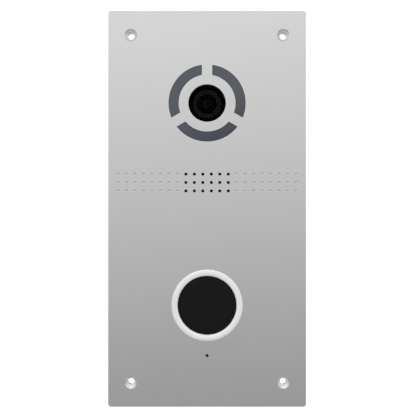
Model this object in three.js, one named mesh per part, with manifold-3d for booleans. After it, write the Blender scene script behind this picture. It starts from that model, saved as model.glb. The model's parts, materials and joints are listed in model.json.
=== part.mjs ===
// Door intercom panel: a flush-mounted door station with a camera, a loudspeaker, a microphone and one
// lit call button. Millimetres. +Z is up, +X is to the right as a visitor faces the panel, and the visitor
// looks along +Y. The origin is the middle of the wall plane, which is the back of the perimeter seal.
import * as THREE from 'three';
import { mergeVertices } from 'three/addons/utils/BufferGeometryUtils.js';
import Module from 'manifold-3d';

const wasm = await Module();
wasm.setup();

// ---------------------------------------------------------------- driving dimensions

const PANEL = { width: 100, height: 200, corner: 1.5, front: -4, back: -1 };
const WALL_SCREW = { x: 38.5, z: 87.6, hole: 1.55, sink: 3.1 };
const WALL_SEAL = { inset: 0.5, width: 4 };

const CAMERA = { z: 53.35, aperture: 9.45 };
const CAMERA_WINDOW = { radius: 9.2, front: -3.8, back: -2.6 };
const LENS = {
  rim: 4.8, face: -2.35, bulge: 0.75, seat: 0.6, headFront: -2.1, head: 7.3, thread: 6, threadEnd: 7.6,
};
const ARC = { inner: 14.4, outer: 19.4, gap: 5.3, spokes: [90, 210, 330] };
const WINDOW_GAP = 0.15; // around each arc of the light window, in its slot

const GRILLE = { z: 13.25, columns: 6, rows: 3, pitchX: 4.28, pitchZ: 4.25, hole: 0.775 };
const SPEAKER = { rim: 16, seat: 1, basket: 9.6, back: 8.2, magnet: 8.8, magnetEnd: 12.3 };

const BUTTON = { z: -48.65, hole: 16.9 };
const RING = { outer: 18, sleeve: 16.7, bore: 14.8, crown: -5.2, rear: 9.4 };
const CAP = { radius: 14.6, face: -4.6, underside: -2.6, skirtEnd: 0.5, stem: 2.8, stemEnd: 6.4 };

const GUIDE = { bush: 3, web: 3.3, rear: 6.5 };
const SPRING = { turns: 3.5, radius: 6, wire: 0.4 };

const MIC = { z: -74.05, port: 0.75, boot: 4.2 };

const HOUSING = { width: 84, height: 164, corner: 5, front: 0, back: 30, wall: 2 };
const FIXING = { x: 36, z: 74, boss: 3.9, stud: 3 };
const CHASSIS = { front: 5, back: 7, margin: 0.8 }; // margin to the housing's inner wall
const MAIN_BOARD = { width: 76, height: 139, front: 14, back: 15.6, screwX: 33, screwZ: 64 };
const LIGHT_BOARD = { front: 3.7, back: 4.9 };
const CAMERA_BOARD = { width: 28, height: 22, front: 9, back: 10.2, screwX: 11.5 };
const BUTTON_BOARD = { width: 50, height: 36, front: 11, back: 12.2, screwX: 21.5 };

const NETWORK = { x: -20, z: -52, width: 16, height: 14, back: 29.2, portWidth: 11.8, portHeight: 7 };
const HEADER = { x: 15, z: -52, width: 37, height: 9, back: 28.6, wall: 1.1 };
const LABEL_RECESS = { z: -5, width: 52, height: 30, depth: 0.3 };
const TAMPER = { x: 25, z: 30, shaft: 1.9, end: 32.5 };
const SWITCH_SIDE = 6.2;
const SEATED = 0.05; // gap between a piece and the board that it is soldered to
const EARTH = { z: -88.5, stud: 2, nut: 3.9 };

const FINE = 36; // facets round a large circle
const MEDIUM = 24;
const COARSE = 12;

// ---------------------------------------------------------------- materials

function finish(color, roughness, metalness) {
  return new THREE.MeshStandardMaterial({ color, roughness, metalness });
}

const BRUSHED = finish(0xbfc0c2, 0.38, 1.0);
const SMOKED = finish(0x5a5f69, 0.25, 0.0);
const CLEAR = finish(0xd8dde0, 0.05, 0.0);
const WHITE_LIGHT_GUIDE = finish(0xeeeeec, 0.3, 0.0);
const BLACK_PLASTIC = finish(0x18181a, 0.45, 0.0);
const GLOSS_BLACK = finish(0x1b1b1b, 0.35, 0.0);
const RUBBER = finish(0x202020, 0.85, 0.0);
const STEEL = finish(0xb4b6b8, 0.35, 1.0);
const BOARD_GREEN = finish(0x1f5a34, 0.5, 0.0);
const GREEN_PLASTIC = finish(0x2f8a4a, 0.5, 0.0);
const LED_WHITE = finish(0xf2edcf, 0.4, 0.0);
const PAPER = finish(0x37322c, 0.8, 0.0);

// ---------------------------------------------------------------- solids

// A closed three.js geometry as a manifold-3d solid, so that it can be joined and cut.
function solid(geometry) {
  const bare = geometry.index ? geometry.toNonIndexed() : geometry.clone();
  bare.deleteAttribute('normal');
  bare.deleteAttribute('uv');
  const merged = mergeVertices(bare, 1e-4);
  const corners = merged.index.array;
  const kept = [];
  for (let i = 0; i < corners.length; i += 3) {
    const [a, b, c] = [corners[i], corners[i + 1], corners[i + 2]];
    if (a !== b && b !== c && a !== c) kept.push(a, b, c);
  }
  const mesh = new wasm.Mesh({
    numProp: 3,
    vertProperties: new Float32Array(merged.attributes.position.array),
    triVerts: new Uint32Array(kept),
  });
  return new wasm.Manifold(mesh);
}

function geometryOf(manifold) {
  const mesh = manifold.getMesh();
  const geometry = new THREE.BufferGeometry();
  geometry.setAttribute('position', new THREE.BufferAttribute(mesh.vertProperties, 3));
  geometry.setIndex(new THREE.BufferAttribute(mesh.triVerts, 1));
  return geometry;
}

function cut(body, ...tools) {
  return geometryOf(tools.reduce((left, tool) => left.subtract(solid(tool)), solid(body)));
}

function join(...bodies) {
  const [first, ...rest] = bodies.map(solid);
  return geometryOf(rest.reduce((sum, body) => sum.add(body), first));
}

// ---------------------------------------------------------------- basic shapes

// A shape drawn in X and Z, as seen from the front, extruded from y = front to y = back.
function slab(shape, front, back, curveSegments = 12) {
  const settings = { depth: back - front, bevelEnabled: false, curveSegments };
  return new THREE.ExtrudeGeometry(shape, settings).rotateX(Math.PI / 2).translate(0, back, 0);
}

function roundedRectangle(width, height, corner) {
  const [x, z] = [width / 2, height / 2];
  const shape = new THREE.Shape();
  shape.moveTo(-x + corner, -z);
  shape.lineTo(x - corner, -z);
  shape.absarc(x - corner, -z + corner, corner, -Math.PI / 2, 0);
  shape.lineTo(x, z - corner);
  shape.absarc(x - corner, z - corner, corner, 0, Math.PI / 2);
  shape.lineTo(-x + corner, z);
  shape.absarc(-x + corner, z - corner, corner, Math.PI / 2, Math.PI);
  shape.lineTo(-x, -z + corner);
  shape.absarc(-x + corner, -z + corner, corner, Math.PI, Math.PI * 1.5);
  return shape;
}

function roundedSlab(width, height, corner, front, back) {
  return slab(roundedRectangle(width, height, corner), front, back, 5);
}

function block(width, height, front, back) {
  return new THREE.BoxGeometry(width, back - front, height).translate(0, (front + back) / 2, 0);
}

// A body turned about the Y axis. The profile is a list of [radius, y] points.
function turned(profile, segments) {
  return new THREE.LatheGeometry(profile.map(([r, y]) => new THREE.Vector2(r, y)), segments);
}

function disc(radius, front, back, segments) {
  return turned([[0, front], [radius, front], [radius, back], [0, back]], segments);
}

function tube(inner, outer, front, back, segments) {
  return turned([[inner, front], [outer, front], [outer, back], [inner, back], [inner, front]], segments);
}

function at(geometry, x, z) {
  return geometry.translate(x, 0, z);
}

// The four places of a fixing, from its distance to each side of the middle.
function fourCorners(x, z) {
  return [[-x, z], [x, z], [-x, -z], [x, -z]];
}

// One arc of the light window, or of its slot, between two neighbouring spokes. Its ends run parallel
// to the spokes, half of `gap` from their middle lines.
function arcShape(spoke, inner, outer, gap) {
  const start = THREE.MathUtils.degToRad(spoke);
  const end = start + (2 * Math.PI) / ARC.spokes.length;
  const offset = (radius) => Math.asin(gap / 2 / radius);
  const shape = new THREE.Shape();
  shape.absarc(0, 0, outer, start + offset(outer), end - offset(outer), false);
  shape.absarc(0, 0, inner, end - offset(inner), start + offset(inner), true);
  return shape;
}

// ---------------------------------------------------------------- the part

const panel = new THREE.Group();

function add(name, geometry, material) {
  const mesh = new THREE.Mesh(geometry, material);
  mesh.name = name;
  panel.add(mesh);
  return mesh;
}

// Front plate: countersunk wall screw holes, camera aperture, three arc slots, the loudspeaker's grille
// of holes, the button hole and the microphone port.
function faceplate() {
  const { front, back } = PANEL;
  const outline = roundedRectangle(PANEL.width, PANEL.height, PANEL.corner);
  const plate = slab(outline, front, back, 3);
  const cameraHole = at(disc(CAMERA.aperture, front - 1, back + 1, FINE), 0, CAMERA.z);
  const buttonHole = at(disc(BUTTON.hole, front - 1, back + 1, FINE), 0, BUTTON.z);
  const grille = grillePlaces().map(([x, z]) => at(disc(GRILLE.hole, front - 1, back + 1, 8), x, z));
  const slots = ARC.spokes.map((spoke) =>
    at(slab(arcShape(spoke, ARC.inner, ARC.outer, ARC.gap), front - 1, back + 1, 10), 0, CAMERA.z));
  const microphonePort = at(disc(MIC.port, front - 1, back + 1, 8), 0, MIC.z);
  const screwHoles = fourCorners(WALL_SCREW.x, WALL_SCREW.z).map(([x, z]) => at(countersunkHole(), x, z));
  return cut(plate, cameraHole, buttonHole, ...grille, ...slots, microphonePort, ...screwHoles);
}

function grillePlaces() {
  const places = [];
  for (let row = 0; row < GRILLE.rows; row++) {
    for (let column = 0; column < GRILLE.columns; column++) {
      places.push([
        (column - (GRILLE.columns - 1) / 2) * GRILLE.pitchX,
        GRILLE.z + (row - (GRILLE.rows - 1) / 2) * GRILLE.pitchZ,
      ]);
    }
  }
  return places;
}

function countersunkHole() {
  const { front, back } = PANEL;
  const { hole, sink } = WALL_SCREW;
  const proud = 0.5; // the tool stands past both faces
  return turned([
    [0, front - proud],
    [sink + proud, front - proud],
    [hole, front + sink - hole],
    [hole, back + proud],
    [0, back + proud],
  ], COARSE);
}

// Rubber strip between the plate and the wall or the wall box.
function wallSeal() {
  const { inset, width } = WALL_SEAL;
  const across = PANEL.width - 2 * inset;
  const up = PANEL.height - 2 * inset;
  const outline = roundedRectangle(across, up, PANEL.corner);
  outline.holes.push(roundedRectangle(across - 2 * width, up - 2 * width, 0.5));
  return slab(outline, PANEL.back, 0, 4);
}

// Rear shell: open to the front, with four screw bosses and windows for the sockets.
function rearHousing() {
  const { width, height, corner, front, back, wall } = HOUSING;
  const shell = cut(
    roundedSlab(width, height, corner, front, back),
    roundedSlab(width - 2 * wall, height - 2 * wall, corner - wall, front - 1, back - wall),
  );
  const fixings = fourCorners(FIXING.x, FIXING.z);
  const bosses = fixings.map(([x, z]) => at(disc(FIXING.boss, CHASSIS.back + 0.1, back - 1, COARSE), x, z));
  const screwWays = fixings.map(([x, z]) => at(turned([
    [0, CHASSIS.back - 1],
    [1.7, CHASSIS.back - 1],
    [1.7, back - 3],
    [3.3, back - 3],
    [3.3, back + 1],
    [0, back + 1],
  ], COARSE), x, z));
  const windows = [NETWORK, HEADER].map((socket) =>
    at(block(socket.width + 0.8, socket.height + 0.8, back - 5, back + 1), socket.x, socket.z));
  const tamperHole = at(disc(TAMPER.shaft + 0.25, back - 5, back + 1, COARSE), TAMPER.x, TAMPER.z);
  const label = LABEL_RECESS;
  const labelRecess = at(block(label.width, label.height, back - label.depth, back + 1), 0, label.z);
  return cut(join(shell, ...bosses), ...screwWays, ...windows, tamperHole, labelRecess);
}

function housingSeal() {
  const { width, height, corner, wall } = HOUSING;
  const outline = roundedRectangle(width - 0.4, height - 0.4, corner);
  outline.holes.push(roundedRectangle(width - 3.6, height - 3.6, corner - wall));
  return slab(outline, PANEL.back, HOUSING.front, 5);
}

// Threaded stud on the back of the plate, with a blind hole for a housing screw.
function plateStud() {
  const end = CHASSIS.front - 0.1;
  const tapped = 1.25;
  return turned([
    [0, PANEL.back], [FIXING.stud, PANEL.back], [FIXING.stud, end], [tapped, end], [tapped, 0], [0, 0],
  ], COARSE);
}

// Pan-head screw along -Y: its head stands behind y = seat, and its shank ends at y = tip.
function screw(headRadius, headHeight, shankRadius, tip, seat) {
  return turned([
    [0, tip],
    [shankRadius, tip],
    [shankRadius, seat],
    [headRadius, seat],
    [headRadius * 0.8, seat + headHeight],
    [0, seat + headHeight],
  ], 10);
}

// Inner chassis: a moulded plate that presses the front modules to the plate and carries the boards.
function chassis() {
  const { front, back, margin } = CHASSIS;
  const inner = HOUSING.wall + margin;
  const outline = roundedRectangle(HOUSING.width - 2 * inner, HOUSING.height - 2 * inner, 3);
  const round = (x, z, radius) => new THREE.Path().absarc(x, z, radius, 0, 2 * Math.PI, true);
  outline.holes.push(
    round(0, CAMERA.z, 8.4),
    round(0, GRILLE.z, 12.4),
    round(0, BUTTON.z, RING.sleeve + 0.5),
    round(0, MIC.z, MIC.boot + 0.3),
    ...fourCorners(FIXING.x, FIXING.z).map(([x, z]) => round(x, z, 1.8)),
  );
  const sink = 0.4; // how far each moulded post or wall runs into the plate
  const posts = [
    at(tube(9.6, 11, 1.2, front + sink, MEDIUM), 0, CAMERA.z), // keeps the lights' glare off the lens
    at(tube(22.3, 23.3, -0.6, front + sink, FINE), 0, CAMERA.z),
    at(tube(14.6, 16, 2.4, front + sink, MEDIUM), 0, GRILLE.z),
    ...boardPosts(CAMERA_BOARD, CAMERA.z, 2.1, sink),
    ...boardPosts(BUTTON_BOARD, BUTTON.z, 2.3, sink),
    ...mainBoardScrews().map(([x, z]) => at(tube(1.1, 2.6, back - sink, MAIN_BOARD.front - 0.1, 8), x, z)),
    ...mainBoardPins().map(([x, z]) => at(locatingPin(), x, z)),
  ];
  return join(slab(outline, front, back, 8), ...posts);
}

// Two posts, one either side, for the screws of a small board.
function boardPosts(board, z, radius, sink) {
  const post = () => tube(1, radius, CHASSIS.back - sink, board.front - 0.1, 8);
  return [-1, 1].map((side) => at(post(), side * board.screwX, z));
}

// The main board is held by two screws, and located by two pins in its other corners.
function mainBoardScrews() {
  return [[-MAIN_BOARD.screwX, MAIN_BOARD.screwZ], [MAIN_BOARD.screwX, -MAIN_BOARD.screwZ]];
}

function mainBoardPins() {
  return [[MAIN_BOARD.screwX, MAIN_BOARD.screwZ], [-MAIN_BOARD.screwX, -MAIN_BOARD.screwZ]];
}

function locatingPin() {
  const shoulder = MAIN_BOARD.front - 0.1;
  return turned([
    [0, CHASSIS.back - 0.4], [2.6, CHASSIS.back - 0.4], [2.6, shoulder], [1.35, shoulder],
    [1.35, MAIN_BOARD.back + 0.8], [0.9, MAIN_BOARD.back + 1.3], [0, MAIN_BOARD.back + 1.3],
  ], 12);
}

// Smoked light window: one moulding whose three arcs fill the slots flush, on a flange behind the plate.
function lightWindow() {
  const flange = tube(11.4, 22, PANEL.back + 0.3, 0.8, FINE);
  const arcs = ARC.spokes.map((spoke) =>
    slab(arcShape(spoke, ARC.inner + WINDOW_GAP, ARC.outer - WINDOW_GAP, ARC.gap + 2 * WINDOW_GAP),
      PANEL.front + 0.08, PANEL.back + 0.6, 10));
  return at(join(flange, ...arcs), 0, CAMERA.z);
}

function cameraWindow() {
  const { radius, front, back } = CAMERA_WINDOW;
  return at(disc(radius, front, back, FINE), 0, CAMERA.z);
}

function cameraBezel() {
  const { radius, back } = CAMERA_WINDOW;
  const [bore, front] = [7.6, back + 0.1];
  return at(turned([
    [bore, front], [radius, front], [radius, -0.8], [11, -0.8], [11, 1], [bore, 1], [bore, front],
  ], MEDIUM), 0, CAMERA.z);
}

// Lens barrel: a wide head, and a threaded body that screws into the holder.
function lensBarrel() {
  const { rim, seat, headFront, head, thread, threadEnd } = LENS;
  const bore = rim + 0.1;
  return at(turned([
    [bore, headFront], [head, headFront], [head, seat], [thread, seat], [thread, threadEnd], [3.4, threadEnd],
    [3.4, seat + 0.2], [bore, seat + 0.2], [bore, headFront],
  ], MEDIUM), 0, CAMERA.z);
}

// Front lens element: a convex face seated in the barrel's head.
function frontLens() {
  const { rim, face, bulge, seat } = LENS;
  const steps = 3;
  const dome = [];
  for (let i = 0; i <= steps; i++) {
    dome.push([(rim * i) / steps, face + bulge * (i / steps) ** 2]);
  }
  return at(turned([...dome, [rim, seat], [0, seat]], MEDIUM), 0, CAMERA.z);
}

function lensHolder() {
  const base = block(16, 16, 7.2, CAMERA_BOARD.front - 0.1);
  const sleeve = disc(7.6, 1.5, 7.6, MEDIUM);
  return at(cut(join(base, sleeve), disc(LENS.thread + 0.2, 0, 12, MEDIUM)), 0, CAMERA.z);
}

function drilledBoard(board, holeRadius) {
  const hole = () => disc(holeRadius, board.front - 1, board.back + 1, 12);
  const holes = [-1, 1].map((side) => at(hole(), side * board.screwX, 0));
  return cut(roundedSlab(board.width, board.height, 1.5, board.front, board.back), ...holes);
}

function speakerFrame() {
  const { rim, seat, basket, back } = SPEAKER;
  const ledge = rim - 1.8;
  return at(turned([
    [ledge, seat], [rim, seat], [rim, seat + 1.3], [ledge, seat + 1.4], [basket, back - 0.8], [basket, back],
    [6, back], [6, back - 0.9], [basket - 1, back - 1.4], [ledge - 1, seat + 1.1], [ledge, seat],
  ], MEDIUM), 0, GRILLE.z);
}

// Loudspeaker cone with its rolled surround and dust cap, one thin formed piece.
function speakerCone() {
  const frontSide = [[0, 3.2], [4.4, 4.1], [10.6, 1.1], [12, 0.3], [13.5, 0.95]];
  const thickness = 0.35;
  const rearSide = frontSide.map(([r, y]) => [r, y + thickness]).reverse();
  return at(turned([...frontSide, ...rearSide], MEDIUM), 0, GRILLE.z);
}

function microphoneBoot() {
  const { port, boot } = MIC;
  const [way, pocket, rear] = [port + 0.1, 3.15, 5.4];
  return at(turned([
    [way, PANEL.back], [boot, PANEL.back], [boot, rear], [pocket, rear], [pocket, 0.2], [way, 0.2],
    [way, PANEL.back],
  ], COARSE), 0, MIC.z);
}

// Call button ring: a white light guide. Its rounded bead sits on the plate, and its sleeve passes through
// the plate, takes the nut and guides the cap.
function buttonRing() {
  const beadSteps = 5;
  const seatOut = [RING.outer, PANEL.front];
  const middle = (RING.outer + RING.bore) / 2;
  const half = (RING.outer - RING.bore) / 2;
  const rise = PANEL.front - RING.crown;
  const bead = [];
  for (let i = 1; i < beadSteps; i++) {
    const angle = (Math.PI * i) / beadSteps;
    bead.push([middle + half * Math.cos(angle), PANEL.front - rise * Math.sin(angle) ** 0.7]);
  }
  const profile = [
    seatOut, [17.5, PANEL.front], [17.5, PANEL.front - 0.3], [RING.sleeve, PANEL.front - 0.3],
    [RING.sleeve, RING.rear], [RING.bore, RING.rear], [RING.bore, PANEL.front - 0.4],
    ...bead.reverse(), seatOut,
  ];
  return at(turned(profile, FINE), 0, BUTTON.z);
}

function ringNut() {
  const outer = 20;
  const nut = tube(RING.sleeve + 0.15, outer, PANEL.back + 0.1, 2.6, FINE);
  const sides = [[1, 0], [-1, 0], [0, 1], [0, -1]];
  const slots = sides.map(([x, z]) => at(block(3, 3, 0.8, 4), x * outer, z * outer));
  return at(cut(nut, ...slots), 0, BUTTON.z);
}

// Button cap: a shallow cup whose skirt slides in the ring, on a central stem with a clip groove.
function buttonCap() {
  const { radius, face, underside, skirtEnd, stem, stemEnd } = CAP;
  return at(turned([
    [0, face], [radius - 0.3, face], [radius, face + 0.3], [radius, skirtEnd], [radius - 1.5, skirtEnd],
    [radius - 1.5, underside], [stem, underside], [stem, 4.9], [2.2, 4.9], [2.2, 5.65], [stem, 5.65],
    [stem, stemEnd], [0, stemEnd],
  ], FINE), 0, BUTTON.z);
}

// Guide disc snapped into the ring's rear: its bush carries the stem, and its web seats the spring.
function buttonGuide() {
  const { bush, web, rear } = GUIDE;
  const rim = RING.bore - 0.15;
  return at(turned([
    [bush, 1.2], [bush + 1.4, 1.2], [bush + 1.4, web], [rim, web], [rim, rear], [rim - 1.5, rear],
    [rim - 1.5, web + 1.5], [bush, web + 1.5], [bush, 1.2],
  ], MEDIUM), 0, BUTTON.z);
}

// Retaining clip on the stem: a flat open ring.
function stemClip() {
  return at(cut(tube(2.35, 4.3, 4.98, 5.55, COARSE), at(block(2.4, 6, 4, 7), 0, -3.4)), 0, BUTTON.z);
}

// Coil spring between the cap and the guide's web.
function buttonSpring() {
  const { turns, radius, wire } = SPRING;
  const [start, end] = [CAP.underside + wire + 0.1, GUIDE.web - wire - 0.1];
  const stepsPerTurn = 12;
  const points = [];
  for (let i = 0; i <= turns * stepsPerTurn; i++) {
    const share = i / (turns * stepsPerTurn);
    const angle = 2 * Math.PI * turns * share;
    const y = start + (end - start) * share;
    points.push(new THREE.Vector3(radius * Math.cos(angle), y, radius * Math.sin(angle)));
  }
  const section = new THREE.Shape().absarc(0, 0, wire, 0, 2 * Math.PI, false);
  const geometry = new THREE.ExtrudeGeometry(section, {
    steps: turns * stepsPerTurn,
    curveSegments: 3,
    extrudePath: new THREE.CatmullRomCurve3(points),
  });
  return at(geometry, 0, BUTTON.z);
}

// Tactile switch on the button board, with the plunger's bore in its top.
function tactSwitch() {
  const body = block(SWITCH_SIDE, SWITCH_SIDE, 8.2, BUTTON_BOARD.front - SEATED);
  return at(cut(body, disc(1.85, 8, 10.2, COARSE)), 0, BUTTON.z);
}

function mainBoard() {
  const { width, height, front, back, screwX, screwZ } = MAIN_BOARD;
  const holes = fourCorners(screwX, screwZ).map(([x, z]) => at(disc(1.5, front - 1, back + 1, 12), x, z));
  return cut(roundedSlab(width, height, 1.5, front, back), ...holes);
}

// Network jack: a shell open to the rear.
function networkSocket() {
  const { x, z, width, height, back, portWidth, portHeight } = NETWORK;
  const port = block(portWidth, portHeight, back - 11, back + 1);
  const latch = at(block(6, 3, back - 11, back + 1), 0, -portHeight / 2 - 1);
  return at(cut(block(width, height, MAIN_BOARD.back + SEATED, back), port, latch), x, z);
}

// Shrouded pin header for the plug-in wiring terminal, open to the rear.
function terminalHeader() {
  const { x, z, width, height, back, wall } = HEADER;
  const well = block(width - 2 * wall, height - 2 * wall, back - 9.6, back + 1);
  return at(cut(block(width, height, MAIN_BOARD.back + SEATED, back), well), x, z);
}

function tamperSwitch() {
  const body = block(SWITCH_SIDE, SWITCH_SIDE, MAIN_BOARD.back + SEATED, 19.7);
  return at(cut(body, disc(1.45, 16.2, 21, COARSE)), TAMPER.x, TAMPER.z);
}

// Tamper plunger: a collar stops it behind the housing's wall, and its tip works the switch.
function tamperPlunger() {
  const { shaft, end } = TAMPER;
  return at(turned([
    [0, 18.9], [1.2, 18.9], [1.2, 22.6], [shaft, 22.6], [shaft, 26.8], [3.3, 26.8], [3.3, 27.8],
    [shaft, 27.8], [shaft, end - 0.6], [shaft - 0.6, end], [0, end],
  ], COARSE), TAMPER.x, TAMPER.z);
}

function earthNut() {
  return at(cut(disc(EARTH.nut, 0.2, 3.2, 6), disc(EARTH.stud + 0.1, -1, 5, COARSE)), 0, EARTH.z);
}

// ---------------------------------------------------------------- assembly

add('faceplate', faceplate(), BRUSHED);
add('wall_seal', wallSeal(), RUBBER);
add('rear_housing', rearHousing(), BLACK_PLASTIC);
add('housing_seal', housingSeal(), RUBBER);
add('chassis', chassis(), BLACK_PLASTIC);
fourCorners(FIXING.x, FIXING.z).forEach(([x, z], i) => {
  add(`plate_stud_${i + 1}`, at(plateStud(), x, z), STEEL);
  add(`housing_screw_${i + 1}`, at(screw(2.9, 2, 1.1, 1, HOUSING.back - 2.95), x, z), STEEL);
});

add('light_window', lightWindow(), SMOKED);
add('light_board', at(tube(12, 21.6, LIGHT_BOARD.front, LIGHT_BOARD.back, MEDIUM), 0, CAMERA.z), BOARD_GREEN);
ARC.spokes.forEach((spoke, i) => {
  const angle = THREE.MathUtils.degToRad(spoke - 60);
  const radius = (ARC.inner + ARC.outer) / 2;
  const [x, z] = [radius * Math.cos(angle), CAMERA.z + radius * Math.sin(angle)];
  const led = block(5, 5, LIGHT_BOARD.front - 1.1, LIGHT_BOARD.front - SEATED);
  add(`light_led_${i + 1}`, at(led, x, z), LED_WHITE);
});

add('camera_window', cameraWindow(), CLEAR);
add('camera_bezel', cameraBezel(), BLACK_PLASTIC);
add('lens_barrel', lensBarrel(), BLACK_PLASTIC);
add('front_lens', frontLens(), CLEAR);
add('lens_holder', lensHolder(), BLACK_PLASTIC);
add('image_sensor', at(block(8, 8, 8.05, CAMERA_BOARD.front - SEATED), 0, CAMERA.z), GLOSS_BLACK);
add('camera_board', at(drilledBoard(CAMERA_BOARD, 1.1), 0, CAMERA.z), BOARD_GREEN);

add('speaker_mesh', at(disc(13.2, PANEL.back + 0.1, PANEL.back + 0.3, MEDIUM), 0, GRILLE.z), PAPER);
add('speaker_gasket', at(tube(13.7, 16, PANEL.back, 1, MEDIUM), 0, GRILLE.z), RUBBER);
add('speaker_frame', speakerFrame(), BLACK_PLASTIC);
add('speaker_cone', speakerCone(), PAPER);
const magnet = disc(SPEAKER.magnet, SPEAKER.back + 0.1, SPEAKER.magnetEnd, MEDIUM);
add('speaker_magnet', at(magnet, 0, GRILLE.z), STEEL);

add('microphone_boot', microphoneBoot(), RUBBER);
add('microphone', at(disc(3, 0.3, 4.9, COARSE), 0, MIC.z), STEEL);

add('button_ring', buttonRing(), WHITE_LIGHT_GUIDE);
add('ring_gasket', at(tube(16.95, 17.35, PANEL.front - 0.27, PANEL.front, FINE), 0, BUTTON.z), RUBBER);
add('ring_nut', ringNut(), BLACK_PLASTIC);
add('button_cap', buttonCap(), GLOSS_BLACK);
add('stem_clip', stemClip(), STEEL);
add('button_guide', buttonGuide(), BLACK_PLASTIC);
add('button_spring', buttonSpring(), STEEL);
add('button_board', at(drilledBoard(BUTTON_BOARD, 1.2), 0, BUTTON.z), BOARD_GREEN);
add('tact_switch', tactSwitch(), BLACK_PLASTIC);
add('tact_plunger', at(disc(1.7, CAP.stemEnd + 0.1, 8.8, COARSE), 0, BUTTON.z), WHITE_LIGHT_GUIDE);
ARC.spokes.forEach((spoke, i) => {
  const angle = THREE.MathUtils.degToRad(spoke);
  const radius = (RING.sleeve + RING.bore) / 2;
  const [x, z] = [radius * Math.cos(angle), BUTTON.z + radius * Math.sin(angle)];
  add(`button_led_${i + 1}`, at(block(3, 3, 10, BUTTON_BOARD.front - SEATED), x, z), LED_WHITE);
});

[-1, 1].forEach((side, i) => {
  const cameraScrew = screw(2, 1.1, 0.8, 7.6, CAMERA_BOARD.back + SEATED);
  add(`camera_screw_${i + 1}`, at(cameraScrew, side * CAMERA_BOARD.screwX, CAMERA.z), STEEL);
  const buttonScrew = screw(2.1, 1.1, 0.8, 8, BUTTON_BOARD.back + SEATED);
  add(`button_board_screw_${i + 1}`, at(buttonScrew, side * BUTTON_BOARD.screwX, BUTTON.z), STEEL);
});

add('main_board', mainBoard(), BOARD_GREEN);
add('processor', at(block(15, 15, MAIN_BOARD.back + SEATED, 17.1), 0, 28), GLOSS_BLACK);
add('network_socket', networkSocket(), STEEL);
add('terminal_header', terminalHeader(), GREEN_PLASTIC);
mainBoardScrews().forEach(([x, z], i) => {
  add(`main_board_screw_${i + 1}`, at(screw(2.4, 1.3, 0.9, 9, MAIN_BOARD.back + SEATED), x, z), STEEL);
});
add('tamper_switch', tamperSwitch(), BLACK_PLASTIC);
add('tamper_plunger', tamperPlunger(), WHITE_LIGHT_GUIDE);
add('earth_stud', at(disc(EARTH.stud, PANEL.back, 5.5, COARSE), 0, EARTH.z), STEEL);
add('earth_nut', earthNut(), STEEL);

export default panel;
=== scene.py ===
"""The looks of the door intercom panel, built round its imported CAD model. Metres, in the CAD model's frame:
+Z up, +X right as a visitor faces the panel, +Y into the wall, origin in the middle of the wall plane."""

import json
import math

import bmesh
import bpy
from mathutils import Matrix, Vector


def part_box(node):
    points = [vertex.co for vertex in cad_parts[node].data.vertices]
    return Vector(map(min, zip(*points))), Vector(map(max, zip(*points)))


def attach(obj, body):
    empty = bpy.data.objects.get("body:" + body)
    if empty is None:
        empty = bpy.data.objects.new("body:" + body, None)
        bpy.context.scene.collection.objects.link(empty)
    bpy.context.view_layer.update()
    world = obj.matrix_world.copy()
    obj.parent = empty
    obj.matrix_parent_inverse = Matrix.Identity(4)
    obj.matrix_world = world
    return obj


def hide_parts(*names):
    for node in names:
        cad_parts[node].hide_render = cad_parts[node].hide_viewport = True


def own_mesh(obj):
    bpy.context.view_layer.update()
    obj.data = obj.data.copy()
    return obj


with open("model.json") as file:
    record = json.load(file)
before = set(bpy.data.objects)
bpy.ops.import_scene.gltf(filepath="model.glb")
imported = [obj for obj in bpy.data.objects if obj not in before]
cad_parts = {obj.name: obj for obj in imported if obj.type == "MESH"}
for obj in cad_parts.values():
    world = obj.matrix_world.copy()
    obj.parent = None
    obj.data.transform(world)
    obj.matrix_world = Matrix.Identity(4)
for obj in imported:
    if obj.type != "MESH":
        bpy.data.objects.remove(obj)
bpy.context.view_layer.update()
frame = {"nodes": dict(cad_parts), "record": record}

MM = 0.001
ROUND = 128  # facets round a large circle
SMALL_ROUND = 32
FILLET_STEPS = 4

# Shapes of the plate, the shell and the header, in millimetres where they are lengths.
PLATE_CORNER = 1.5
PLATE_EDGE = 0.14
HOLE_EDGE = 0.06
WALL_SCREW = {"x": 38.5, "z": 87.6, "hole": 1.55, "sink": 3.1}
ARC = {"inner": 14.4, "outer": 19.4, "gap": 5.3, "spokes": (90, 210, 330), "clearance": 0.15}
GRILLE = {"columns": 6, "all_columns": 22, "rows": 3, "pitch_x": 4.28, "pitch_z": 4.25, "hole": 0.775}
DIMPLE = {"radius": 0.66, "depth": 0.34}
CAMERA_HOLE = 9.45
LENS_RIM = 4.8
BUTTON_HOLE = 16.9
MICROPHONE_HOLE = 0.75
SHELL = {"draft": 0.7, "groove": 6.5, "rib_pitch": 12}  # the draft is over the shell's depth
LABEL_RECESS = {"width": 52, "height": 30, "z": -5}
TERMINAL = {"ways": 10, "pitch": 3.5}
SOCKETS = ("network_socket", "terminal_header")

# The studio: how bright the surroundings are by height, from straight down (-1) to straight up (1). They
# are brightest overhead and dimmest well below the horizon, and slightly brighter on the left.
SKY = [(-1.0, 0.62), (-0.85, 0.60), (-0.45, 0.395), (-0.2, 0.655), (0.45, 1.20), (1.0, 1.26)]
SKY_LEAN = -0.06
KEY_WATTS = 0.5


def centre_of(node):
    """The middle of a CAD node's front, as seen along Y: its x and z."""
    low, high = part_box(node)
    return (low.x + high.x) / 2, (low.z + high.z) / 2


def depth_of(node):
    """A CAD node's front and back, as y."""
    low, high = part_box(node)
    return low.y, high.y


PLATE_FRONT, PLATE_BACK = depth_of("faceplate")
CAMERA = centre_of("camera_window")
SPEAKER = centre_of("speaker_gasket")
BUTTON = centre_of("button_cap")
MICROPHONE = centre_of("microphone")
LABEL_CENTRE = (0, LABEL_RECESS["z"] * MM)


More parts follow.
